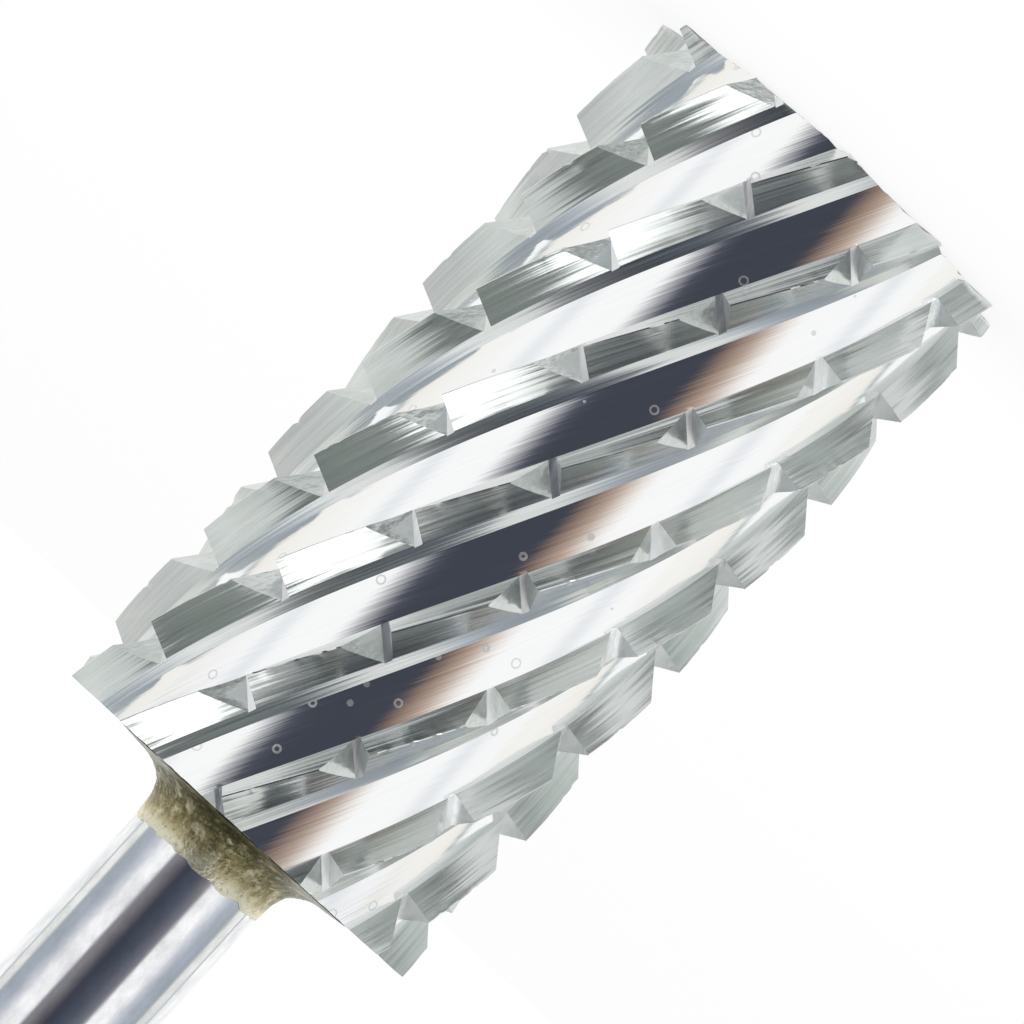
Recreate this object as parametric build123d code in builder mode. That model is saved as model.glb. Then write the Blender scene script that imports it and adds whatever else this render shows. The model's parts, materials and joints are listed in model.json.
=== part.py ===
from build123d import *
import os

# A cross-cut carbide burr standing on the flat tip of its head.
# The origin is the centre of the tip and +Z is the axis, with the shank uppermost.
# Right-hand teeth run round the head, and rows of chip breaker notches cut each into short edges.

# ---- driving dimensions, millimetres and degrees ----

shank_diameter = 2.35           # the usual thin handpiece shank, held in a collet
overall_length = 45.0
shank_end_chamfer = 0.2

head_diameter = 6.7             # over the cutting edges
head_length = 13.1

tooth_count = 11
tooth_lead = 33.4               # axial length of one full turn of a tooth
tooth_start = 7.0               # angle of one cutting edge at the tip
tooth_height = 0.55             # from the cutting edge down to the gullet's lowest line
rake_run_angle = 4.2            # from the cutting edge to the foot of the steep rake face
back_run_angle = 7.8            # from the cutting edge to the foot of the ground back
heel_run_angle = 4.2            # the low heel between the back and the gullet floor
rake_foot_rise = 0.065          # height of the rake face's foot over the lowest line
back_foot_rise = 0.08           # height of the back's foot over the lowest line

breaker_rows = 9                # left-hand rows of chip breaker notches
breaker_lead = 33.3             # axial length of one full turn of a row
breaker_start = 17.0            # angle of one row at the tip
breaker_depth = 0.49
breaker_tilt = 42               # how far a notch leans out of square with the axis
breaker_steep_run = 0.03        # run of the steep wall, along the tooth, at the cutting edge
breaker_root_run = 0.12         # flat root of the notch
breaker_slope_run = 0.62        # run of the sloping wall
breaker_width = 1.5             # length of one notch, across its tooth

brazed_end_taper = 0.03         # the end under the alloy is ground thinner by this much at its foot
braze_film = 0.05               # alloy between the back of the head and the end of the shank
braze_collar_length = 0.92      # how far the alloy is wetted up the side of the shank
braze_collar_thickness = 0.04   # at the top of the fillet
braze_collar_edge = 0.015       # at the collar's own top, where it thins out
braze_fillet_height = 0.6
braze_fillet_width = 0.635      # from the collar out to the skirt
braze_skirt_width = 0.45        # alloy spread thin over the back of the head
braze_skirt_thickness = 0.06

# ---- values worked out from them ----

head_radius = head_diameter / 2
shank_radius = shank_diameter / 2
pitch_angle = 360 / tooth_count
gullet_radius = head_radius - tooth_height
cutter_overrun = 0.5            # how far a cutting tool passes the surface it cuts

os.makedirs("parts", exist_ok=True)


def polar(radius, angle):
    """Point at a radius and an angle about the axis."""
    return Vector(radius, 0).rotate(Axis.Z, angle)


def axis_line(start, length):
    """Straight line up the axis, the path of a twisted sweep."""
    return Edge.make_line((0, 0, start), (0, 0, start + length))


def guide_helix(lead, start, length):
    """Right-hand helix round the axis that turns a section as it is swept upwards."""
    return Edge.make_helix(lead, length, 1, center=(0, 0, start))


# ---- cutting head: one ground piece of cemented carbide ----

# One tooth, by increasing angle: the foot of the heel, the foot of the back, the cutting edge
# and the foot of the rake face. The gullet floor is an arc to the next tooth's heel.
with BuildSketch() as tooth_section:
    with BuildLine():
        for tooth in range(tooth_count):
            edge_angle = tooth_start + tooth * pitch_angle
            back_foot_angle = edge_angle - back_run_angle
            heel_foot_angle = back_foot_angle - heel_run_angle
            rake_foot_angle = edge_angle + rake_run_angle
            next_heel_angle = heel_foot_angle + pitch_angle
            floor_middle_angle = (rake_foot_angle + next_heel_angle) / 2
            rake_foot = polar(gullet_radius + rake_foot_rise, rake_foot_angle)
            Polyline(
                polar(gullet_radius, heel_foot_angle),
                polar(gullet_radius + back_foot_rise, back_foot_angle),
                polar(head_radius, edge_angle),
                rake_foot,
            )
            ThreePointArc(
                rake_foot,
                polar(gullet_radius + rake_foot_rise / 2, floor_middle_angle),
                polar(gullet_radius, next_heel_angle),
            )
    make_face()

# One chip breaker cutter: a steep wall, a short flat root and a sloping wall, leaned to cross a tooth.
# Its walls run on past the cutting edge, so that the notch opens cleanly.
breaker_root_radius = head_radius - breaker_depth
breaker_outer_radius = head_radius + cutter_overrun
wall_growth = (breaker_outer_radius - breaker_root_radius) / breaker_depth

with BuildPart() as breaker_cutter:
    with BuildSketch(Plane.XZ):
        Polygon(
            (breaker_root_radius, 0),
            (breaker_outer_radius, -breaker_steep_run * wall_growth),
            (breaker_outer_radius, breaker_root_run + breaker_slope_run * wall_growth),
            (breaker_root_radius, breaker_root_run),
            align=None,
        )
    extrude(amount=breaker_width / 2, both=True)

leaned_cutter = breaker_cutter.part.rotate(Axis.X, -breaker_tilt)

# A row and a tooth turn opposite ways and meet where their angles agree.
row_pitch_angle = 360 / breaker_rows
meeting_rate = 360 / tooth_lead + 360 / breaker_lead
notch_spacing = row_pitch_angle / meeting_rate

notch_places = []
for tooth in range(tooth_count):
    edge_angle = tooth_start + tooth * pitch_angle
    first_meeting = (breaker_start - edge_angle) / meeting_rate % notch_spacing - notch_spacing
    for notch in range(int(head_length / notch_spacing) + 3):
        height = first_meeting + notch * notch_spacing
        notch_places.append(Pos(0, 0, height) * Rot(0, 0, edge_angle + 360 * height / tooth_lead))

with BuildPart() as cutting_head:
    sweep(
        sections=tooth_section.sketch,
        path=axis_line(0, head_length),
        binormal=guide_helix(tooth_lead, 0, head_length),
    )
    with Locations(*notch_places):
        add(leaned_cutter, mode=Mode.SUBTRACT)

cutting_head.part.label = "cutting_head"
export_step(cutting_head.part, "parts/cutting_head.step")

# ---- shank: polished steel, butted against the head with the alloy between ----

shank_start = head_length + braze_film
collar_top = head_length + braze_collar_length
brazed_end_radius = shank_radius - brazed_end_taper

with BuildPart() as shank:
    with BuildSketch(Plane.XZ):
        Polygon(
            (0, shank_start),
            (brazed_end_radius, shank_start),
            (shank_radius, collar_top),
            (shank_radius, overall_length - shank_end_chamfer),
            (shank_radius - shank_end_chamfer, overall_length),
            (0, overall_length),
            align=None,
        )
    revolve(axis=Axis.Z)

shank.part.label = "shank"
export_step(shank.part, "parts/shank.step")

# ---- braze joint: a film under the shank, and a hollow fillet that runs up its side ----

collar_radius = shank_radius + braze_collar_thickness
fillet_radius = collar_radius + braze_fillet_width
skirt_radius = fillet_radius + braze_skirt_width
fillet_top = head_length + braze_fillet_height
skirt_top = head_length + braze_skirt_thickness

with BuildPart() as braze_joint:
    with BuildSketch(Plane.XZ):
        with BuildLine():
            Polyline(
                (0, shank_start),
                (0, head_length),
                (skirt_radius, head_length),
                (fillet_radius, skirt_top),
            )
            TangentArc(
                (collar_radius, fillet_top),
                (fillet_radius, skirt_top),
                tangent=(0, -1),
            )
            Polyline(
                (collar_radius, fillet_top),
                (shank_radius + braze_collar_edge, collar_top),
                (shank_radius, collar_top),
                (brazed_end_radius, shank_start),
                (0, shank_start),
            )
        make_face()
    revolve(axis=Axis.Z)

braze_joint.part.label = "braze_joint"
export_step(braze_joint.part, "parts/braze_joint.step")
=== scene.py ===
# %% [markdown]
# # A carbide burr
# The burr is three real pieces: a fluted head of cemented carbide, a thin polished steel shank, and the
# braze that joins them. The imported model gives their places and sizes, as facets. This lesson rebuilds each
# piece finely enough to mirror its surroundings, in the same place, and gives it the finish of the real one.

# %% Load the frame
import json
import math

import bpy
from mathutils import Matrix, Vector, noise

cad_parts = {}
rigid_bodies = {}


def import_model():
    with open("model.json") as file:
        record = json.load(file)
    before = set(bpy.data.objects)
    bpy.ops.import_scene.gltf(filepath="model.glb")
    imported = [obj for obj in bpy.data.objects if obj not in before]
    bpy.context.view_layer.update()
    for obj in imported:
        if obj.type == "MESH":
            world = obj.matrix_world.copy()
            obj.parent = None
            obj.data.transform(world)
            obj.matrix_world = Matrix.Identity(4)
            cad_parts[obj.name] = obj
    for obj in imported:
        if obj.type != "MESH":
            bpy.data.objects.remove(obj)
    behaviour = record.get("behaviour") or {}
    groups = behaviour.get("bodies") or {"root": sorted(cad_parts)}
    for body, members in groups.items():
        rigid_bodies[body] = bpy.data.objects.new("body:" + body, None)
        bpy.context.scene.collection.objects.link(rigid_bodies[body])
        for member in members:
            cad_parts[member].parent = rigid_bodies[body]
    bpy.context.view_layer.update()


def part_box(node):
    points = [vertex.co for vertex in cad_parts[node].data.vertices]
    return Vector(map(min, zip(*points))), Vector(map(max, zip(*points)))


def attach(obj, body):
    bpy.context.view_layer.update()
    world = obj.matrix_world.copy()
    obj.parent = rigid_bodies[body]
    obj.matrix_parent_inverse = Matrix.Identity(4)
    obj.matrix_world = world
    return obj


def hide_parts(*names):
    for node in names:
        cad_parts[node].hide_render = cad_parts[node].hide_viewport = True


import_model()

# %% [markdown]
# ## Units and small helpers
# The model is in metres and a burr is thought of in millimetres, so every size here is written in
# millimetres and multiplied by MM. The operators act on whatever is selected, so each step starts by
# deselecting everything and choosing one piece to work on.

# %% Units and helpers
MM = 0.001
FULL_TURN = 2 * math.pi
TOUCHING = 1e-7  # metres: anything closer than this is in the same place


def deselect_all():
    """Leaves nothing for the next operator to act on by mistake."""
    for thing in bpy.context.view_layer.objects:
        thing.select_set(False)


def work_on(piece):
    """Makes one piece the selected and active one."""
    deselect_all()
    piece.select_set(True)
    bpy.context.view_layer.objects.active = piece


def added(name):
    """Names the piece that the last operator added."""
    piece = bpy.context.active_object
    piece.name = name
    piece.data.name = name
    return piece


def apply_modifier(piece, kind, **settings):
    """Adds a modifier, sets it and applies it."""
    work_on(piece)
    bpy.ops.object.modifier_add(type=kind)
    modifier = piece.modifiers[-1]
    for key, value in settings.items():
        setattr(modifier, key, value)
    bpy.ops.object.modifier_apply(modifier=modifier.name)


# %% [markdown]
# ## Sizes taken from the frame
# The corners of each node give its diameter and length, so that the pieces below always fit the model.

# %% Sizes from the frame
head_low, head_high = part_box("cutting_head")
shank_low, shank_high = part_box("shank")
braze_low, braze_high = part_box("braze_joint")

head_radius = (head_high.x - head_low.x) / 2
head_length = head_high.z
shank_radius = (shank_high.x - shank_low.x) / 2
print("head radius", round(head_radius / MM, 3), "length", round(head_length / MM, 3))
print("shank radius", round(shank_radius / MM, 3), "length", round((shank_high.z - shank_low.z) / MM, 3))
print("braze height, with the film under the shank", round((braze_high.z - braze_low.z) / MM, 3))

# %% [markdown]
# ## The teeth
# Eleven teeth are ground round the head as a steep right-hand helix. Each has a sharp edge, a steep rake face
# on one side, a ground back on the other, a low heel, and then a smooth gullet floor up to the next rake face.
# The outline of one slice is worked out here, as points round a circle that stand in and out with the teeth.

# %% Tooth sizes
TOOTH_COUNT = 11
TOOTH_LEAD = 33.4 * MM  # length of head in which a tooth would take one full turn
TOOTH_HEIGHT = 0.55 * MM
RAKE_FOOT_RISE = 0.065 * MM
BACK_FOOT_RISE = 0.08 * MM
PITCH_ANGLE = 360 / TOOTH_COUNT
GULLET_RADIUS = head_radius - TOOTH_HEIGHT

# Angles round the axis, in degrees, seen from the shank.
TOOTH_START = 7.0
RAKE_RUN = 4.2
BACK_RUN = 7.8
HEEL_RUN = 4.2
EDGE_LAND = 0.4
print("a tooth every", round(PITCH_ANGLE, 2), "degrees, gullet radius", round(GULLET_RADIUS / MM, 3))

# %% Outline of one tooth
BACK_STEPS = 4
RAKE_STEPS = 3
FLOOR_STEPS = 12


def polar(radius, angle):
    """Point at a radius, and an angle in degrees, about the burr's axis."""
    turn = math.radians(angle)
    return Vector((radius * math.cos(turn), radius * math.sin(turn), 0.0))


def line_between(start, end, steps):
    """Evenly spaced points from start up to, and without, end."""
    return [start.lerp(end, step / steps) for step in range(steps)]


def tooth_outline(edge_angle):
    """One tooth's points, by increasing angle, from the foot of its heel to the end of the gullet floor."""
    heel_foot_angle = edge_angle - BACK_RUN - HEEL_RUN
    rake_foot_angle = edge_angle + RAKE_RUN
    heel_foot = polar(GULLET_RADIUS, heel_foot_angle)
    back_foot = polar(GULLET_RADIUS + BACK_FOOT_RISE, edge_angle - BACK_RUN)
    edge_back = polar(head_radius, edge_angle - EDGE_LAND)
    edge_front = polar(head_radius, edge_angle)
    rake_foot = polar(GULLET_RADIUS + RAKE_FOOT_RISE, rake_foot_angle)
    points = [heel_foot]
    points += line_between(back_foot, edge_back, BACK_STEPS)
    points += [edge_back]
    points += line_between(edge_front, rake_foot, RAKE_STEPS)
    floor_run = heel_foot_angle + PITCH_ANGLE - rake_foot_angle
    for step in range(FLOOR_STEPS):
        share = step / FLOOR_STEPS
        radius = GULLET_RADIUS + RAKE_FOOT_RISE * (1 - share)
        points.append(polar(radius, rake_foot_angle + floor_run * share))
    return points


outline = []
for tooth in range(TOOTH_COUNT):
    outline += tooth_outline(TOOTH_START + tooth * PITCH_ANGLE)
print("outline of one slice:", len(outline), "points")

# %% [markdown]
# ## Turning the outline into the head
# A wheel that grinds a flute moves up the blank while the blank turns. The Screw modifier does the same: it
# lifts the outline by the head's length as it turns it, and leaves a fluted tube. Its two open ends are then
# filled with one face each.

# %% Turn the outline into the head
SLICES = 220
deselect_all()
bpy.ops.mesh.primitive_circle_add(vertices=len(outline), radius=head_radius, fill_type="NOTHING")
head = added("fluted_head")
for vertex, point in zip(head.data.vertices, outline):
    vertex.co = point

apply_modifier(
    head,
    "SCREW",
    axis="Z",
    angle=FULL_TURN * head_length / TOOTH_LEAD,
    screw_offset=head_length,
    steps=SLICES,
    render_steps=SLICES,
    use_merge_vertices=False,
    use_smooth_shade=False,
)
print("fluted tube:", len(head.data.polygons), "faces")


# %% Close the two ends
def close_ends(piece, low, high):
    """Fills the two open ends of a screwed tube."""
    work_on(piece)
    bpy.ops.object.mode_set(mode="EDIT")
    bpy.ops.mesh.select_mode(type="EDGE")
    for height in (low, high):
        bpy.ops.mesh.select_all(action="DESELECT")
        bpy.ops.object.mode_set(mode="OBJECT")
        for edge in piece.data.edges:
            ends = [piece.data.vertices[index].co.z for index in edge.vertices]
            edge.select = all(abs(z - height) < TOUCHING for z in ends)
        bpy.ops.object.mode_set(mode="EDIT")
        bpy.ops.mesh.edge_face_add()
    bpy.ops.mesh.select_all(action="SELECT")
    bpy.ops.mesh.normals_make_consistent(inside=False)
    bpy.ops.object.mode_set(mode="OBJECT")


close_ends(head, 0, head_length)
print("head before the notches:", len(head.data.polygons), "faces")

# %% [markdown]
# ### Chips along the edges
# The edges are not perfect: carbide is brittle, and crumbs break out of them. Noise moves the points of each
# edge inwards a little, and here and there a chip goes deeper. The noise is read at each point's own place, so
# that it is the same at every run.

# %% Chips along the edges
WEAR_SIZE = 0.35 * MM
CRUMB_SIZE = 0.16 * MM
CRUMB_LEVEL = 0.32  # only noise above this level breaks a crumb out
EDGE_REACH = 0.004 * MM  # points this close to the full radius belong to an edge
EDGE_WEAR, EDGE_CRUMB = 0.008 * MM, 0.09 * MM


def layered_noise(place, layers):
    """Noise with finer layers laid over it, each of half the size and half the strength."""
    return noise.fractal(place, 1.0, 2.0, layers)


def chip_depth(place, wear_depth, crumb_depth):
    """How far a point of an edge is worn away."""
    wear = abs(layered_noise(place / WEAR_SIZE, 4))
    crumb = max(noise.noise(place / CRUMB_SIZE) - CRUMB_LEVEL, 0)
    return wear_depth * wear + crumb_depth * crumb


worn = 0
for vertex in head.data.vertices:
    radius = vertex.co.xy.length
    if radius > head_radius - EDGE_REACH:
        vertex.co.xy *= 1 - chip_depth(vertex.co, EDGE_WEAR, EDGE_CRUMB) / radius
        worn += 1
print("worn points along the edges:", worn)

# %% [markdown]
# ## Materials
# Each material is named for the real one and for how its surface was made. One helper turns a colour's sRGB
# hex code into the linear values that Blender works with, and one adds a node: each of its inputs is given
# either a socket, which is linked, or a value. A bare metal needs no more than a colour, a roughness and a
# bump, so one helper ends every metal's tree.

# %% Material helpers
def linear(code):
    """Linear colour from an sRGB hex code."""
    shares = [int(code[place : place + 2], 16) / 255 for place in (0, 2, 4)]
    return (*[share / 12.92 if share <= 0.04045 else ((share + 0.055) / 1.055) ** 2.4 for share in shares], 1)


def add_node(tree, kind, inputs=None, **settings):
    """Adds a node with its settings, then links or fills its inputs."""
    node = tree.nodes.new(kind)
    for key, value in settings.items():
        setattr(node, key, value)
    for socket, source in (inputs or {}).items():
        if isinstance(source, bpy.types.NodeSocket):
            tree.links.new(source, node.inputs[socket])
        else:
            node.inputs[socket].default_value = source
    return node


def new_material(name):
    """An empty node material and its tree."""
    material = bpy.data.materials.new(name)
    material.use_nodes = True
    material.node_tree.nodes.clear()
    print("material:", name)
    return material, material.node_tree


def bare_metal(tree, tint, rough, bump):
    """Ends a tree in an uncoated metal surface, with the default IOR."""
    surface = add_node(
        tree,
        "ShaderNodeBsdfPrincipled",
        {"Metallic": 1.0, "Base Color": tint, "Roughness": rough, "Normal": bump.outputs["Normal"]},
    )
    add_node(tree, "ShaderNodeOutputMaterial", {"Surface": surface.outputs["BSDF"]})


# %% [markdown]
# ### Patterns of a real size
# Every mark on the metal is noise, drawn out to the size of the real mark in millimetres along each axis.
# Object coordinates keep it fixed on its piece. Grinding marks follow the flutes, so their coordinates are
# first turned back about the axis, by as much as the helix has turned at that height.

# %% Patterns of a real size
MIX_FIRST, MIX_SECOND, MIX_RESULT = 6, 7, 2  # a Mix node's sockets for its two colours and its result


def marks(tree, place, size, detail, contrast):
    """Noise whose marks measure about this size, in millimetres along each axis."""
    drawn_out = add_node(
        tree, "ShaderNodeMapping", {"Vector": place, "Scale": [1 / (span * MM) for span in size]}
    )
    return add_node(
        tree,
        "ShaderNodeTexNoise",
        {"Vector": drawn_out.outputs["Vector"], "Scale": 1.0, "Detail": detail, "Roughness": contrast},
    ).outputs["Fac"]


def untwisted_place(tree, lead):
    """Object coordinates turned back about the axis, so that a helix of this lead runs straight up."""
    place = add_node(tree, "ShaderNodeTexCoord").outputs["Object"]
    height = add_node(tree, "ShaderNodeSeparateXYZ", {"Vector": place}).outputs["Z"]
    turn = add_node(tree, "ShaderNodeMath", {0: height, 1: -FULL_TURN / lead}, operation="MULTIPLY")
    return add_node(
        tree,
        "ShaderNodeVectorRotate",
        {"Vector": place, "Angle": turn.outputs["Value"]},
        rotation_type="Z_AXIS",
    ).outputs["Vector"]


# %% [markdown]
# ### The carbide
# Cemented carbide is a hard grey metal that grinds to a bright mirror. The gullet floor is the smoothest, with
# faint marks along the flute and a few dried droplets. The faces of the teeth show the grinding wheel's lines,
# the steep walls of the chip breakers are duller, and the two flat ends carry fine marks in every direction.
# A real wheel's lines are a few thousandths of a millimetre apart. Those would not show, so all the lines
# here are drawn about ten times coarser.

# %% Polished gullet floor
# Carbide polished by a very fine wheel: nearly a mirror, which draws its reflections out along the flute.
polished, tree = new_material("polished_cemented_carbide")
streaks = marks(tree, untwisted_place(tree, TOOTH_LEAD), (0.0625, 0.0625, 3.85), 3.0, 0.55)
tint = add_node(
    tree,
    "ShaderNodeMix",
    {"Factor": streaks, MIX_FIRST: linear("F3F4F5"), MIX_SECOND: linear("FDFDFD")},
    data_type="RGBA",
)
smooth = add_node(
    tree,
    "ShaderNodeMapRange",
    {"Value": streaks, "From Min": 0.3, "From Max": 0.7, "To Min": 0.07, "To Max": 0.14},
)
bump = add_node(tree, "ShaderNodeBump", {"Height": streaks, "Strength": 0.2, "Distance": 0.008 * MM})

# %% Dried droplets on the gullet floor
# A droplet of cutting fluid dries from its middle outwards and leaves a thin dull ring. A Voronoi pattern
# gives each droplet a cell, and only some of the cells are chosen to hold one.
DROPLET_SPACING = 0.435 * MM
DROPLET_RADIUS = 0.07 * MM
RING_HALF_WIDTH = 0.013 * MM
BARE_SHARE = 0.62
RING_DULLNESS = 0.3
cells = add_node(
    tree,
    "ShaderNodeTexVoronoi",
    {"Vector": add_node(tree, "ShaderNodeTexCoord").outputs["Object"], "Scale": 1 / DROPLET_SPACING},
)
ring = add_node(
    tree,
    "ShaderNodeMath",
    {
        0: cells.outputs["Distance"],
        1: DROPLET_RADIUS / DROPLET_SPACING,
        2: RING_HALF_WIDTH / DROPLET_SPACING,
    },
    operation="COMPARE",
)
cell_pick = add_node(tree, "ShaderNodeSeparateColor", {"Color": cells.outputs["Color"]})
chosen = add_node(
    tree, "ShaderNodeMath", {0: cell_pick.outputs["Red"], 1: BARE_SHARE}, operation="GREATER_THAN"
)
droplet = add_node(
    tree, "ShaderNodeMath", {0: ring.outputs["Value"], 1: chosen.outputs["Value"]}, operation="MULTIPLY"
)
rough = add_node(
    tree,
    "ShaderNodeMath",
    {0: droplet.outputs["Value"], 1: RING_DULLNESS, 2: smooth.outputs["Result"]},
    operation="MULTIPLY_ADD",
)
bare_metal(tree, tint.outputs[MIX_RESULT], rough.outputs["Value"], bump)
print("droplet rings:", round(2 * DROPLET_RADIUS / MM, 2), "mm across")

# %% Ground faces of the teeth
# Wheel-ground carbide: fine lines and broader stripes along the tooth break a reflection into streaks, and
# cloudy patches a few tenths of a millimetre wide are a little greyer.
ground, tree = new_material("ground_cemented_carbide")
place = untwisted_place(tree, TOOTH_LEAD)
lines = marks(tree, place, (0.0588, 0.0588, 4.55), 3.0, 0.55)
stripes = marks(tree, place, (0.143, 0.143, 7.69), 2.0, 0.5)
clouds = marks(tree, place, (0.286, 0.286, 2.0), 3.0, 0.5)
lined = add_node(
    tree,
    "ShaderNodeMix",
    {"Factor": lines, MIX_FIRST: linear("CFD3D1"), MIX_SECOND: linear("F6F8F7")},
    data_type="RGBA",
)
cloudy = add_node(
    tree,
    "ShaderNodeMapRange",
    {"Value": clouds, "From Min": 0.35, "From Max": 0.7, "To Min": 0.0, "To Max": 0.45},
)
tint = add_node(
    tree,
    "ShaderNodeMix",
    {"Factor": cloudy.outputs["Result"], MIX_FIRST: lined.outputs[MIX_RESULT], MIX_SECOND: linear("C9CEC9")},
    data_type="RGBA",
)
rough = add_node(
    tree,
    "ShaderNodeMapRange",
    {"Value": lines, "From Min": 0.3, "From Max": 0.7, "To Min": 0.16, "To Max": 0.26},
)
fine_bump = add_node(tree, "ShaderNodeBump", {"Height": lines, "Strength": 0.12, "Distance": 0.01 * MM})
bump = add_node(
    tree,
    "ShaderNodeBump",
    {"Height": stripes, "Normal": fine_bump.outputs["Normal"], "Strength": 0.5, "Distance": 0.022 * MM},
)
bare_metal(tree, tint.outputs[MIX_RESULT], rough.outputs["Result"], bump)

# %% Steep walls of the chip breakers
# Carbide cut by the edge of a thin wheel: pale and soft, because its short lines along the row scatter light.
BREAKER_LEAD = 33.3 * MM  # length of head in which a row of notches would take one full turn
breaker_ground, tree = new_material("dull_ground_cemented_carbide")
lines = marks(tree, untwisted_place(tree, -BREAKER_LEAD), (0.0714, 0.0714, 0.4), 4.0, 0.6)
tint = add_node(
    tree,
    "ShaderNodeMix",
    {"Factor": lines, MIX_FIRST: linear("ECEFEE"), MIX_SECOND: linear("FFFFFF")},
    data_type="RGBA",
)
rough = add_node(
    tree,
    "ShaderNodeMapRange",
    {"Value": lines, "From Min": 0.3, "From Max": 0.7, "To Min": 0.28, "To Max": 0.44},
)
bump = add_node(tree, "ShaderNodeBump", {"Height": lines, "Strength": 0.4, "Distance": 0.008 * MM})
bare_metal(tree, tint.outputs[MIX_RESULT], rough.outputs["Result"], bump)

# %% Flat ends of the head
# Face-ground carbide: a soft grey sheen, with fine marks that run in no one direction over wider bands.
end_ground, tree = new_material("end_ground_cemented_carbide")
place = add_node(tree, "ShaderNodeTexCoord").outputs["Object"]
scratches = marks(tree, place, (0.111, 0.111, 0.111), 5.0, 0.65)
bands = marks(tree, place, (1.11, 0.143, 1.11), 3.0, 0.6)
tint = add_node(
    tree,
    "ShaderNodeMix",
    {"Factor": scratches, MIX_FIRST: linear("C3C5C6"), MIX_SECOND: linear("E8E9E8")},
    data_type="RGBA",
)
rough = add_node(
    tree,
    "ShaderNodeMapRange",
    {"Value": bands, "From Min": 0.3, "From Max": 0.7, "To Min": 0.2, "To Max": 0.36},
)
bump = add_node(tree, "ShaderNodeBump", {"Height": scratches, "Strength": 0.3, "Distance": 0.005 * MM})
bare_metal(tree, tint.outputs[MIX_RESULT], rough.outputs["Result"], bump)

# %% [markdown]
# ### The steel and the braze
# The shank is polished steel, with a faint mottle where it has been handled. The braze was melted onto it:
# heat has coloured it dark olive beside the head and brown higher up, with a pale gold rim where the thin
# alloy runs out over the steel.

# %% Shank steel
# Ground and polished steel: clear reflections, which a faint mottle softens in patches. The hairlines that
# polishing leaves are finer than this on a real shank, and are drawn coarser so that they show at all.
steel, tree = new_material("polished_shank_steel")
place = add_node(tree, "ShaderNodeTexCoord").outputs["Object"]
mottle = marks(tree, place, (0.278, 0.278, 0.526), 5.0, 0.65)
hairlines = marks(tree, place, (1.67, 1.67, 0.03846), 2.0, 0.5)
bright = add_node(
    tree,
    "ShaderNodeMapRange",
    {"Value": mottle, "From Min": 0.35, "From Max": 0.65, "To Min": 0.0, "To Max": 1.0},
)
tint = add_node(
    tree,
    "ShaderNodeMix",
    {"Factor": bright.outputs["Result"], MIX_FIRST: linear("E2E4E6"), MIX_SECOND: linear("FCFCFD")},
    data_type="RGBA",
)
rough = add_node(
    tree,
    "ShaderNodeMapRange",
    {"Value": mottle, "From Min": 0.35, "From Max": 0.65, "To Min": 0.17, "To Max": 0.08},
)
bump = add_node(tree, "ShaderNodeBump", {"Height": hairlines, "Strength": 0.12, "Distance": 0.002 * MM})
bare_metal(tree, tint.outputs[MIX_RESULT], rough.outputs["Result"], bump)

# %% Heat colours of the braze
# Brazing alloy left as it set: the colour follows the height above the head, and blotches make it wander.
HEAT_COLOURS = (
    (0.0, "474736"), (0.3, "5E5B40"), (0.52, "78704F"), (0.74, "9D9069"), (0.9, "D5CAA4"), (1.0, "F2ECD3"),
)
HEAT_WANDER = 0.35
braze_metal, tree = new_material("heat_coloured_braze_alloy")
place = add_node(tree, "ShaderNodeTexCoord").outputs["Object"]
height = add_node(tree, "ShaderNodeSeparateXYZ", {"Vector": place}).outputs["Z"]
blotches = marks(tree, place, (0.3125, 0.3125, 0.3125), 5.0, 0.62)
rise = add_node(
    tree,
    "ShaderNodeMapRange",
    {"Value": height, "From Min": head_length, "From Max": braze_high.z, "To Min": 0.0, "To Max": 1.0},
)
wander = add_node(
    tree, "ShaderNodeMath", {0: blotches, 1: HEAT_WANDER, 2: rise.outputs["Result"]}, operation="MULTIPLY_ADD"
)
heat = add_node(tree, "ShaderNodeValToRGB", {"Fac": wander.outputs["Value"]})


def paint_ramp(ramp, stops):
    """Gives a colour ramp its stops, each a place from 0 to 1 and an sRGB hex code."""
    while len(ramp.elements) < len(stops):
        ramp.elements.new(0.5)
    for element, (place_on_ramp, code) in zip(ramp.elements, stops):
        element.position = place_on_ramp
        element.color = linear(code)


paint_ramp(heat.color_ramp, HEAT_COLOURS)

# %% Grain and painted glints of the braze
# The alloy sets in grains less than a tenth of a millimetre wide. Each row below is a pattern, the two levels
# that it fades in between, how strong it is at each, and its colour. The two pale rows are painted glints, on the
# blotches and on the tops of the grains, and the dark row darkens the hollows of the grain.
grains = marks(tree, place, (0.08, 0.08, 0.08), 4.0, 0.7)
BRAZE_GLINTS_AND_SPECKS = (
    # painted glints: pale cream on the blotches and on the tops of the grains
    (blotches, 0.54, 0.64, 0.0, 0.5, "EFE7C9"),
    (grains, 0.53, 0.72, 0.0, 0.5, "F1EBCD"),
    # darker in the hollows of the grain
    (grains, 0.28, 0.45, 0.7, 0.0, "45432F"),
)
tint = heat.outputs["Color"]
for pattern, low, high, at_low, at_high, code in BRAZE_GLINTS_AND_SPECKS:
    specks = add_node(
        tree,
        "ShaderNodeMapRange",
        {"Value": pattern, "From Min": low, "From Max": high, "To Min": at_low, "To Max": at_high},
    )
    tint = add_node(
        tree,
        "ShaderNodeMix",
        {"Factor": specks.outputs["Result"], MIX_FIRST: tint, MIX_SECOND: linear(code)},
        data_type="RGBA",
    ).outputs[MIX_RESULT]
rough = add_node(
    tree,
    "ShaderNodeMapRange",
    {"Value": blotches, "From Min": 0.3, "From Max": 0.7, "To Min": 0.2, "To Max": 0.38},
)
bump = add_node(tree, "ShaderNodeBump", {"Height": grains, "Strength": 0.7, "Distance": 0.03 * MM})
bare_metal(tree, tint, rough.outputs["Result"], bump)
print("braze colours:", len(HEAT_COLOURS) + len(BRAZE_GLINTS_AND_SPECKS))

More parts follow.
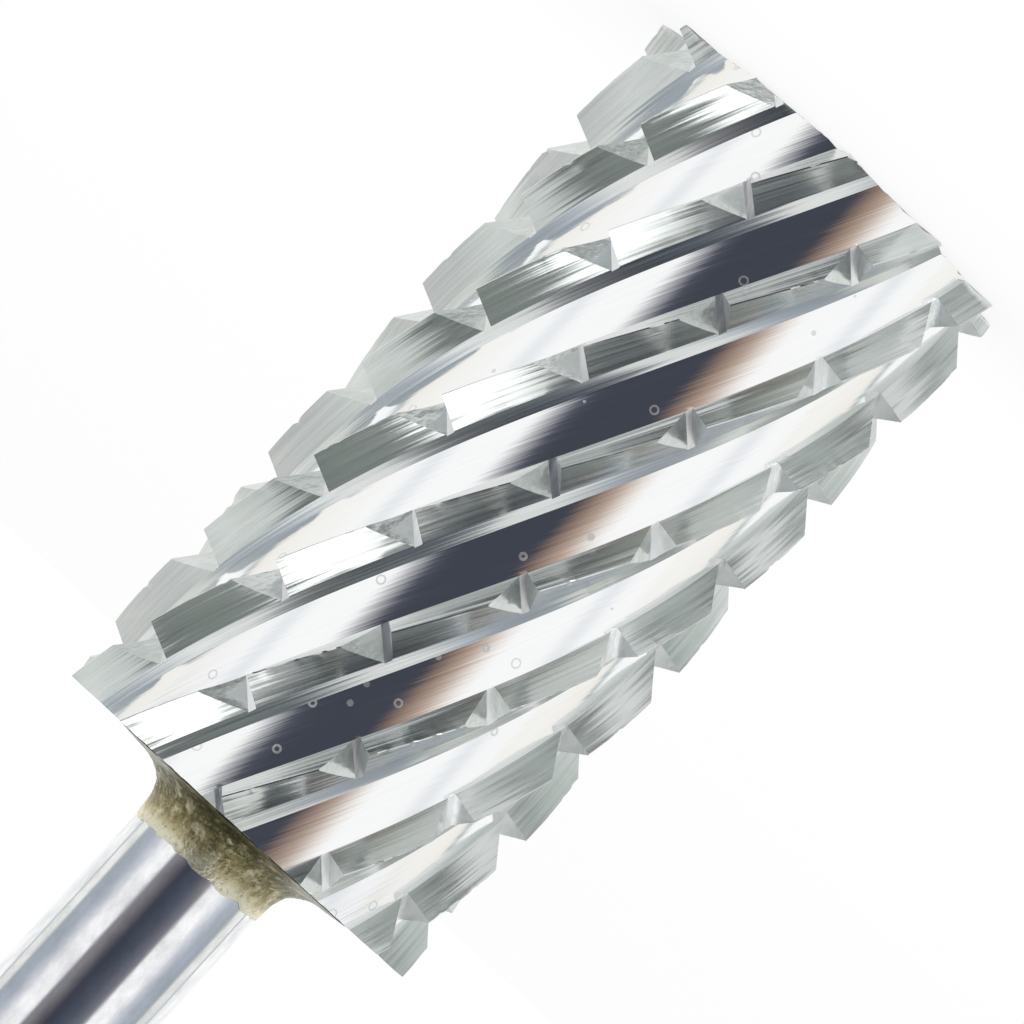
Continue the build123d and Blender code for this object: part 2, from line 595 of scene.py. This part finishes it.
# %% [markdown]
# ## Finishes on the head
# A face's place round the axis, with the helix taken off, says what it is part of: the faces from the foot of
# the heel to the foot of the rake are ground, the gullet floor between two teeth is polished, and the two
# faces that look along the axis are the flat ends.

# %% Give each face its material
POLISHED, GROUND, END_GROUND = 0, 1, 2  # places in the head's list of materials
FLAT_END = 0.99  # a face whose normal leans this far along the axis is a flat end
for material in (polished, ground, end_ground):
    head.data.materials.append(material)
for face in head.data.polygons:
    if abs(face.normal.z) > FLAT_END:
        face.material_index = END_GROUND
        continue
    twist = 360 * face.center.z / TOOTH_LEAD
    since_edge = (math.degrees(math.atan2(face.center.y, face.center.x)) - twist - TOOTH_START) % PITCH_ANGLE
    on_tooth = since_edge < RAKE_RUN or since_edge > PITCH_ANGLE - BACK_RUN - HEEL_RUN
    face.material_index = GROUND if on_tooth else POLISHED
finishes = [face.material_index for face in head.data.polygons]
print("polished, ground and end faces:", *(finishes.count(kind) for kind in (POLISHED, GROUND, END_GROUND)))

# %% [markdown]
# ## The chip breakers
# A row of notches crosses the teeth in a left-hand turn, nine rows in all. They break each long edge into
# short ones, so that the chips come off small. A notch has a steep wall, a narrow flat root and a sloping
# wall, and it leans so that it crosses its tooth nearly square. The steep wall and the root are dull, and the
# sloping wall is ground like the tooth. One cutter is shaped from a cube and copied to every place where a
# row meets a tooth. A Boolean modifier cuts them all.

# %% Chip breaker sizes
BREAKER_ROWS = 9
BREAKER_START = 17.0  # degrees
BREAKER_TILT = 42  # degrees
BREAKER_DEPTH = 0.49 * MM
BREAKER_WIDTH = 1.5 * MM
STEEP_RUN = 0.03 * MM
ROOT_RUN = 0.12 * MM
SLOPE_RUN = 0.62 * MM
OVERRUN = 0.5 * MM  # how far the cutter stands out past the cutting edge
NOTCH_SPREAD = 0.03 * MM  # how far a notch may be from its even place

root_radius = head_radius - BREAKER_DEPTH
outer_radius = head_radius + OVERRUN
growth = (outer_radius - root_radius) / BREAKER_DEPTH
meeting_rate = 360 / TOOTH_LEAD + 360 / BREAKER_LEAD
notch_spacing = 360 / BREAKER_ROWS / meeting_rate
print("a notch every", round(notch_spacing / MM, 3), "mm along the axis")

# %% Shape one cutter
# The sloping wall is found by its normal while the cutter still stands straight, and then the cutter leans.
DULL_WALL, GROUND_WALL = 0, 1  # places in the cutter's list of materials
deselect_all()
bpy.ops.mesh.primitive_cube_add(size=2)
cutter = added("chip_breaker_cutter")
for vertex in cutter.data.vertices:
    outside, across, sloping = (share > 0 for share in vertex.co)
    if outside:
        along = ROOT_RUN + SLOPE_RUN * growth if sloping else -STEEP_RUN * growth
    else:
        along = ROOT_RUN if sloping else 0
    side = BREAKER_WIDTH / 2 if across else -BREAKER_WIDTH / 2
    vertex.co = (outer_radius if outside else root_radius, side, along)
cutter.data.materials.append(breaker_ground)
cutter.data.materials.append(ground)
sloping_wall = max(cutter.data.polygons, key=lambda face: face.normal.z)
sloping_wall.material_index = GROUND_WALL
cutter.data.transform(Matrix.Rotation(math.radians(-BREAKER_TILT), 4, "X"))
dull_walls = [face for face in cutter.data.polygons if face.material_index == DULL_WALL]
print("cutter:", len(dull_walls), "dull walls and one ground wall")

# %% Copy the cutter to every notch
for tooth in range(TOOTH_COUNT):
    edge_angle = TOOTH_START + tooth * PITCH_ANGLE
    height = (BREAKER_START - edge_angle) / meeting_rate % notch_spacing - notch_spacing
    while height < head_length + notch_spacing:
        work_on(cutter)
        bpy.ops.object.duplicate(linked=False)
        angle = math.radians(edge_angle + 360 * height / TOOTH_LEAD)
        spread = NOTCH_SPREAD * noise.noise(Vector((tooth, height / MM, 4.0)))
        added("notch").matrix_world = Matrix.Translation((0, 0, height + spread)) @ Matrix.Rotation(angle, 4, "Z")
        height += notch_spacing

deselect_all()
for thing in bpy.context.view_layer.objects:
    thing.select_set(thing.name.startswith("notch"))
print("cutters:", len(bpy.context.selected_objects))
bpy.context.view_layer.objects.active = bpy.context.selected_objects[0]
bpy.ops.object.join()
notches = bpy.context.active_object
work_on(notches)
bpy.ops.object.transform_apply(location=True, rotation=True, scale=True)

# %% Cut the notches
# TRANSFER gives each new wall of the head the material of the cutter's wall that made it.
apply_modifier(
    head, "BOOLEAN", operation="DIFFERENCE", object=notches, solver="EXACT", material_mode="TRANSFER"
)
for used in (notches, cutter):
    bpy.data.objects.remove(used)
print("head after the notches:", len(head.data.polygons), "faces")

# %% [markdown]
# ### Worn rims and smooth shading
# The rims of both flat ends are worn as well, along the axis. This waits until the notches are cut, because
# the Boolean works best on truly flat ends. Smooth shading by angle keeps the ground edges sharp and hides
# the small steps between slices.

# %% Wear the rims and shade the head
TIP_WEAR, TIP_CRUMB = 0.05 * MM, 0.1 * MM
BACK_WEAR, BACK_CRUMB = 0.02 * MM, 0.05 * MM
MOST_RIM_WEAR = 0.05 * MM
HEAD_SHARP_ANGLE = 11  # degrees: a sharper turn than this is an edge
worn = 0
for vertex in head.data.vertices:
    if vertex.co.z < TOUCHING:
        vertex.co.z += min(chip_depth(vertex.co, TIP_WEAR, TIP_CRUMB), MOST_RIM_WEAR)
        worn += 1
    elif vertex.co.z > head_length - TOUCHING:
        vertex.co.z -= min(chip_depth(vertex.co, BACK_WEAR, BACK_CRUMB), MOST_RIM_WEAR)
        worn += 1
work_on(head)
bpy.ops.object.shade_smooth_by_angle(angle=math.radians(HEAD_SHARP_ANGLE))
print("worn points round the two rims:", worn)

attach(head, "root")
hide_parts("cutting_head")

# %% [markdown]
# ## The shank
# The shank is a plain straight rod, ground thinner at its foot, where the alloy holds it. A profile of its
# side, from the brazed end up to the chamfer at the top, is turned round the axis with a Screw modifier whose
# screw offset is zero, as a lathe would turn it. The two ends are then filled.

# %% Turn a profile round the axis
SIDES = 192


def turned(name, profile):
    """A piece turned round the axis from (radius, height) points, given in order along its side."""
    deselect_all()
    bpy.ops.mesh.primitive_circle_add(vertices=len(profile), radius=MM, fill_type="NOTHING")
    piece = added(name)
    bpy.ops.object.mode_set(mode="EDIT")
    bpy.ops.mesh.select_all(action="DESELECT")
    bpy.ops.object.mode_set(mode="OBJECT")
    for vertex, (radius, height) in zip(piece.data.vertices, profile):
        vertex.co = (radius, 0, height)
    last = len(profile) - 1
    for edge in piece.data.edges:
        edge.select = set(edge.vertices) == {0, last}
    bpy.ops.object.mode_set(mode="EDIT")
    bpy.ops.mesh.delete(type="EDGE")
    bpy.ops.object.mode_set(mode="OBJECT")
    apply_modifier(
        piece,
        "SCREW",
        axis="Z",
        steps=SIDES,
        render_steps=SIDES,
        use_merge_vertices=True,
        merge_threshold=TOUCHING,
        use_smooth_shade=False,
    )
    bpy.ops.object.mode_set(mode="EDIT")
    bpy.ops.mesh.select_all(action="SELECT")
    bpy.ops.mesh.normals_make_consistent(inside=False)
    bpy.ops.object.mode_set(mode="OBJECT")
    print("turned", name + ":", len(piece.data.polygons), "faces")
    return piece


def steps_between(start, end, count):
    """(radius, height) points from start up to, and without, end."""
    shares = [step / count for step in range(count)]
    return [(start[0] + (end[0] - start[0]) * t, start[1] + (end[1] - start[1]) * t) for t in shares]


# %% Shank
END_CHAMFER = 0.2 * MM
BRAZED_END_TAPER = 0.03 * MM
RIM_SHARE, RIM_DROP = 0.94, 0.012 * MM  # a slight rounding where the chamfer meets the end face
SHANK_STEPS = 40
SHANK_SHARP_ANGLE = 20
chamfer_low = shank_high.z - END_CHAMFER
profile = [(shank_radius - BRAZED_END_TAPER, shank_low.z)]
profile += steps_between((shank_radius, braze_high.z), (shank_radius, chamfer_low), SHANK_STEPS)
profile += [(shank_radius, chamfer_low)]
profile += [(shank_radius - END_CHAMFER * RIM_SHARE, shank_high.z - RIM_DROP)]
profile += [(shank_radius - END_CHAMFER, shank_high.z)]
shank = turned("polished_shank", profile)
close_ends(shank, shank_low.z, shank_high.z)
work_on(shank)
bpy.ops.object.shade_smooth_by_angle(angle=math.radians(SHANK_SHARP_ANGLE))
shank.data.materials.append(steel)
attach(shank, "root")
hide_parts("shank")

# %% [markdown]
# ## The braze
# The alloy wets the back of the head as a thin skirt, climbs the shank in a hollow fillet and thins out as a
# collar. It is turned like the shank, then its skin is moved by noise, so that it looks poured and grainy.
# Its inner wall and its floor stay where the shank and the head hold them.

# %% Turn the braze
COLLAR_THICKNESS = 0.04 * MM
COLLAR_EDGE = 0.015 * MM
FILLET_HEIGHT = 0.6 * MM
FILLET_WIDTH = 0.635 * MM
SKIRT_WIDTH = 0.45 * MM
SKIRT_THICKNESS = 0.06 * MM
SKIRT_RIM = 0.01 * MM
SKIRT_STEPS, FILLET_STEPS, COLLAR_STEPS = 12, 26, 16

collar_radius = shank_radius + COLLAR_THICKNESS
fillet_radius = collar_radius + FILLET_WIDTH
skirt_radius = fillet_radius + SKIRT_WIDTH
fillet_top = head_length + FILLET_HEIGHT
skirt_top = head_length + SKIRT_THICKNESS
skin = [(0, head_length), (skirt_radius, head_length)]
skin += steps_between((skirt_radius, head_length + SKIRT_RIM), (fillet_radius, skirt_top), SKIRT_STEPS)
for step in range(FILLET_STEPS):
    swing = math.pi / 2 * step / FILLET_STEPS
    across = fillet_radius - (fillet_radius - collar_radius) * math.sin(swing)
    up = fillet_top - (fillet_top - skirt_top) * math.cos(swing)
    skin.append((across, up))
skin += steps_between((collar_radius, fillet_top), (shank_radius + COLLAR_EDGE, braze_high.z), COLLAR_STEPS)
skin += [(shank_radius + COLLAR_EDGE, braze_high.z), (shank_radius, braze_high.z)]
skin += [(shank_radius - BRAZED_END_TAPER, shank_low.z), (0, shank_low.z)]
braze = turned("braze_fillet", skin)

# %% Poured skin and ragged rims
# The skin sinks by a share of its thickness, a little more or less with each lump and grain. The skirt's rim
# draws in and the collar's rim drops, both unevenly, as melted alloy does where it stops.
LUMP_SIZE = 0.22 * MM
GRAIN_SIZE = 0.055 * MM
HELD_HEIGHT = head_length + 0.005 * MM  # the head holds the skin up to here
HELD_RADIUS = shank_radius + 0.01 * MM  # and the shank holds it in to here
MOST_THICKNESS = 0.12 * MM
SINK, LUMP_SINK, GRAIN_SINK = 0.28, 0.18, 0.16  # shares of the thickness
SKIRT_REACH = 0.02 * MM
SKIRT_RAG, SKIRT_RAG_MEAN, MOST_SKIRT_RAG = 0.16 * MM, 0.6, 0.3 * MM
COLLAR_RAG, COLLAR_RAG_MEAN, MOST_COLLAR_RAG = 0.075 * MM, 0.9, 0.25 * MM
COLLAR_WANDER = 3.4  # radius of the ring that is walked through the noise, so that the rim meets itself
for vertex in braze.data.vertices:
    radius = vertex.co.xy.length
    if vertex.co.z > HELD_HEIGHT and radius > HELD_RADIUS:
        lumps = layered_noise(vertex.co / LUMP_SIZE, 3)
        grain = noise.noise(vertex.co / GRAIN_SIZE)
        thickness = min(radius - shank_radius, MOST_THICKNESS)
        sink = thickness * (SINK + LUMP_SINK * lumps + GRAIN_SINK * grain)
        outward = Vector((vertex.co.x / radius, vertex.co.y / radius, 0))
        vertex.co -= outward * max(sink, 0)
    if radius > skirt_radius - SKIRT_REACH:
        ragged = SKIRT_RAG * (SKIRT_RAG_MEAN + layered_noise(vertex.co / (3 * LUMP_SIZE), 3))
        vertex.co.xy *= 1 - min(max(ragged, 0), MOST_SKIRT_RAG) / radius
    collar_share = (vertex.co.z - fillet_top) / (braze_high.z - fillet_top)
    if collar_share > 0:
        around = polar(COLLAR_WANDER, math.degrees(math.atan2(vertex.co.y, vertex.co.x)))
        drop = COLLAR_RAG * (COLLAR_RAG_MEAN + layered_noise(around, 4))
        vertex.co.z -= min(max(drop, 0), MOST_COLLAR_RAG) * collar_share
highest = max(vertex.co.z for vertex in braze.data.vertices)
print("braze stands", round((highest - head_length) / MM, 3), "mm above the head")

# %% Shade the braze
BRAZE_SHARP_ANGLE = 40
work_on(braze)
bpy.ops.object.shade_smooth_by_angle(angle=math.radians(BRAZE_SHARP_ANGLE))
braze.data.materials.append(braze_metal)
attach(braze, "root")
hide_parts("braze_joint")
print("head, shank and braze:", *(len(piece.data.polygons) for piece in (head, shank, braze)), "faces")

# %% [markdown]
# ## The studio
# The burr stands on a plain white floor under a white sky. Bright metal shows only what surrounds it, so
# rings of soft grey, navy and tan cards stand round it, with a grey card overhead, as in a product studio. The
# cards are seen by mirror rays alone. One soft lamp hangs over the left shoulder and a weaker one opposite.

# %% White floor
# The camera sees mostly the paint's own white, and the rest keeps the burr's shadow. Mirror rays pass through
# the floor to the cards below it.
FLOOR_SIDE = 6  # metres
FLOOR_WHITENESS = 0.8
floor_paint, tree = new_material("white_floor_paint")
path = add_node(tree, "ShaderNodeLightPath")
place = add_node(tree, "ShaderNodeTexCoord").outputs["Object"]
paint_tone = add_node(
    tree,
    "ShaderNodeMix",
    {
        "Factor": marks(tree, place, (25, 25, 25), 2.0, 0.5),
        MIX_FIRST: linear("F4F4F4"),
        MIX_SECOND: linear("F7F7F7"),
    },
    data_type="RGBA",
)
matte = add_node(tree, "ShaderNodeBsdfDiffuse", {"Color": paint_tone.outputs[MIX_RESULT]})
glow = add_node(tree, "ShaderNodeEmission", {"Color": linear("FFFFFF"), "Strength": 1.0})
seen = add_node(
    tree,
    "ShaderNodeMath",
    {0: path.outputs["Is Camera Ray"], 1: path.outputs["Is Glossy Ray"]},
    operation="MAXIMUM",
)
share = add_node(tree, "ShaderNodeMath", {0: seen.outputs["Value"], 1: FLOOR_WHITENESS}, operation="MULTIPLY")
both = add_node(
    tree,
    "ShaderNodeMixShader",
    {0: share.outputs["Value"], 1: matte.outputs["BSDF"], 2: glow.outputs["Emission"]},
)
add_node(tree, "ShaderNodeOutputMaterial", {"Surface": both.outputs["Shader"]})
deselect_all()
bpy.ops.mesh.primitive_plane_add(size=FLOOR_SIDE)
floor = added("floor")
floor.data.materials.append(floor_paint)
floor.visible_glossy = False
print("floor:", FLOOR_SIDE, "m square")

# %% [markdown]
# ### The cards
# Each card's edge is an angle from the front, in degrees, with the colour that the card has there. Colours
# blend from one edge to the next, as they do between soft cards that are out of focus. Front cards are given
# right round the front, and side cards stand on both sides alike. The shank mirrors the upper ring and the
# gullets the lower one, and the faces of the teeth lean enough to mirror the high and low rings.

# %% Colours of the cards
HIGH_FRONT_CARDS = (
    (-31, "D9DEDC"), (-21, "4D5456"), (-11, "8A918E"), (11, "8A918E"), (21, "4D5456"), (31, "D9DEDC"),
)
HIGH_SIDE_CARDS = (
    (40, "EFF1F0"), (58, "7F8683"), (76, "4F5557"), (92, "5F5C58"), (106, "F1F3F2"), (150, "FFFFFF"),
)
UPPER_FRONT_CARDS = (
    (-28, "86858A"), (-19, "6B6A6F"), (-9, "3E404D"), (2, "444A58"), (14, "525865"), (27, "6C707D"),
)
UPPER_SIDE_CARDS = (
    (33, "7C7B84"), (37, "FFFFFF"), (56, "FFFFFF"), (68, "CDD1DA"), (80, "ACB3BE"), (99, "A6AEB6"),
    (103, "EFF0EC"), (118, "F2F3EF"), (120.5, "6E9096"), (123, "FFFFFF"), (160, "FFFFFF"),
)
LOWER_FRONT_CARDS = (
    (-34, "B4B4B8"), (-27, "4C505C"), (-20, "41454F"), (13, "41454F"), (19, "8A756A"), (27, "BBA697"),
    (35, "EFE9E3"),
)
LOWER_SIDE_CARDS = (
    (40, "FFFFFF"), (62, "FFFFFF"), (70, "E9EDF1"), (78, "FFFFFF"), (100, "FBFAF6"), (118, "F7F3EC"),
    (121, "8FA5A8"), (124, "FFFFFF"), (160, "FFFFFF"),
)
LOW_FRONT_CARDS = (
    (-30, "F2F5F4"), (-19, "767D7F"), (-9, "BEC5C3"), (7, "A9AFAC"), (18, "5E6263"), (30, "F2F5F4"),
)
LOW_SIDE_CARDS = ((42, "FFFFFF"), (58, "8C9394"), (72, "D5DBD9"), (110, "F4F6F5"), (150, "FFFFFF"))
print("edges in the fullest ring:", len(UPPER_FRONT_CARDS) + 2 * len(UPPER_SIDE_CARDS))

# %% Rings of cards
CARD_RADIUS = 300 * MM
CARD_SIDES = 180
RING_JOIN = 120 * MM  # height where the upper ring meets the high one, and below the floor as far
RING_END = 700 * MM
FRONT_ON_RAMP = 0.25  # where the front falls on a radial gradient


def mirror_only(card, paint):
    """Paints a card and hides it from everything but mirror rays."""
    card.data.materials.append(paint)
    card.visible_camera = False
    card.visible_diffuse = False
    card.visible_shadow = False


def card_wall(name, low, high, front_cards, side_cards):
    """A round wall of cards from one height to another."""
    edges = list(front_cards) + [(side * angle, code) for side in (1, -1) for angle, code in side_cards]
    paint, tree = new_material(name + "_paint")
    place = add_node(tree, "ShaderNodeTexCoord").outputs["Object"]
    around = add_node(tree, "ShaderNodeTexGradient", {"Vector": place}, gradient_type="RADIAL")
    ramp = add_node(tree, "ShaderNodeValToRGB", {"Fac": around.outputs["Fac"]})
    paint_ramp(ramp.color_ramp, sorted(((FRONT_ON_RAMP - angle / 360) % 1, code) for angle, code in edges))
    glow = add_node(tree, "ShaderNodeEmission", {"Color": ramp.outputs["Color"], "Strength": 1.0})
    add_node(tree, "ShaderNodeOutputMaterial", {"Surface": glow.outputs["Emission"]})
    deselect_all()
    bpy.ops.mesh.primitive_cylinder_add(
        vertices=CARD_SIDES,
        radius=CARD_RADIUS,
        depth=high - low,
        end_fill_type="NOTHING",
        location=(0, 0, (low + high) / 2),
    )
    wall = added(name)
    mirror_only(wall, paint)


card_wall("high_cards", RING_JOIN, RING_END, HIGH_FRONT_CARDS, HIGH_SIDE_CARDS)
card_wall("upper_cards", 0, RING_JOIN, UPPER_FRONT_CARDS, UPPER_SIDE_CARDS)
card_wall("lower_cards", -RING_JOIN, 0, LOWER_FRONT_CARDS, LOWER_SIDE_CARDS)
card_wall("low_cards", -RING_END, -RING_JOIN, LOW_FRONT_CARDS, LOW_SIDE_CARDS)

# %% Card overhead
overhead_paint, tree = new_material("overhead_card_paint")
glow = add_node(tree, "ShaderNodeEmission", {"Color": linear("A3A9A6"), "Strength": 1.0})
add_node(tree, "ShaderNodeOutputMaterial", {"Surface": glow.outputs["Emission"]})
deselect_all()
bpy.ops.mesh.primitive_circle_add(
    vertices=CARD_SIDES, radius=CARD_RADIUS, fill_type="NGON", location=(0, 0, RING_END)
)
overhead = added("overhead_card")
mirror_only(overhead, overhead_paint)

# %% Lamps
LAMP_SIDE = 200 * MM
LAMP_AIM = Vector((0, 0, 15)) * MM
for name, watts, place in (
    ("key_lamp", 0.16, Vector((-180, -160, 260)) * MM),
    ("fill_lamp", 0.07, Vector((220, -60, 180)) * MM),
):
    deselect_all()
    bpy.ops.object.light_add(type="AREA", location=place)
    lamp = added(name)
    lamp.rotation_euler = (LAMP_AIM - place).to_track_quat("-Z", "Y").to_euler()
    lamp.data.energy = watts
    lamp.data.size = LAMP_SIDE
    print(name + ":", watts, "W")

# %% White sky
sky = bpy.data.worlds.new("white_sky")
bpy.context.scene.world = sky
sky.use_nodes = True
sky.node_tree.nodes["Background"].inputs["Color"].default_value = linear("FFFFFF")
sky.node_tree.nodes["Background"].inputs["Strength"].default_value = 1.0
print("world:", sky.name)

# %% [markdown]
# ## The camera
# The camera looks nearly level at the head from close by, through a long lens that keeps the rod straight and
# even. It is rolled so that the tip points to the upper right. Its place and its right and back directions
# say all of this, and its up direction is square to both.

# %% Camera
CAMERA_PLACE = Vector((0.0843, -107.0333, 12.5371)) * MM
CAMERA_RIGHT = Vector((-0.7385, -0.0353, -0.6734))
CAMERA_BACK = Vector((0.0, -0.9986, 0.0523)).normalized()
CAMERA_UP = CAMERA_BACK.cross(CAMERA_RIGHT).normalized()
deselect_all()
bpy.ops.object.camera_add()
camera = added("camera")
axes = Matrix((CAMERA_UP.cross(CAMERA_BACK), CAMERA_UP, CAMERA_BACK)).transposed()
camera.matrix_world = Matrix.Translation(CAMERA_PLACE) @ axes.to_4x4()
camera.data.sensor_width = 36
camera.data.lens = 254.81
camera.data.clip_start = 1 * MM
camera.data.clip_end = 10
bpy.context.scene.camera = camera
print("camera:", round(CAMERA_PLACE.length / MM, 1), "mm from the tip, lens", camera.data.lens, "mm")

# %% View transform and the end
bpy.context.scene.view_settings.view_transform = "Standard"
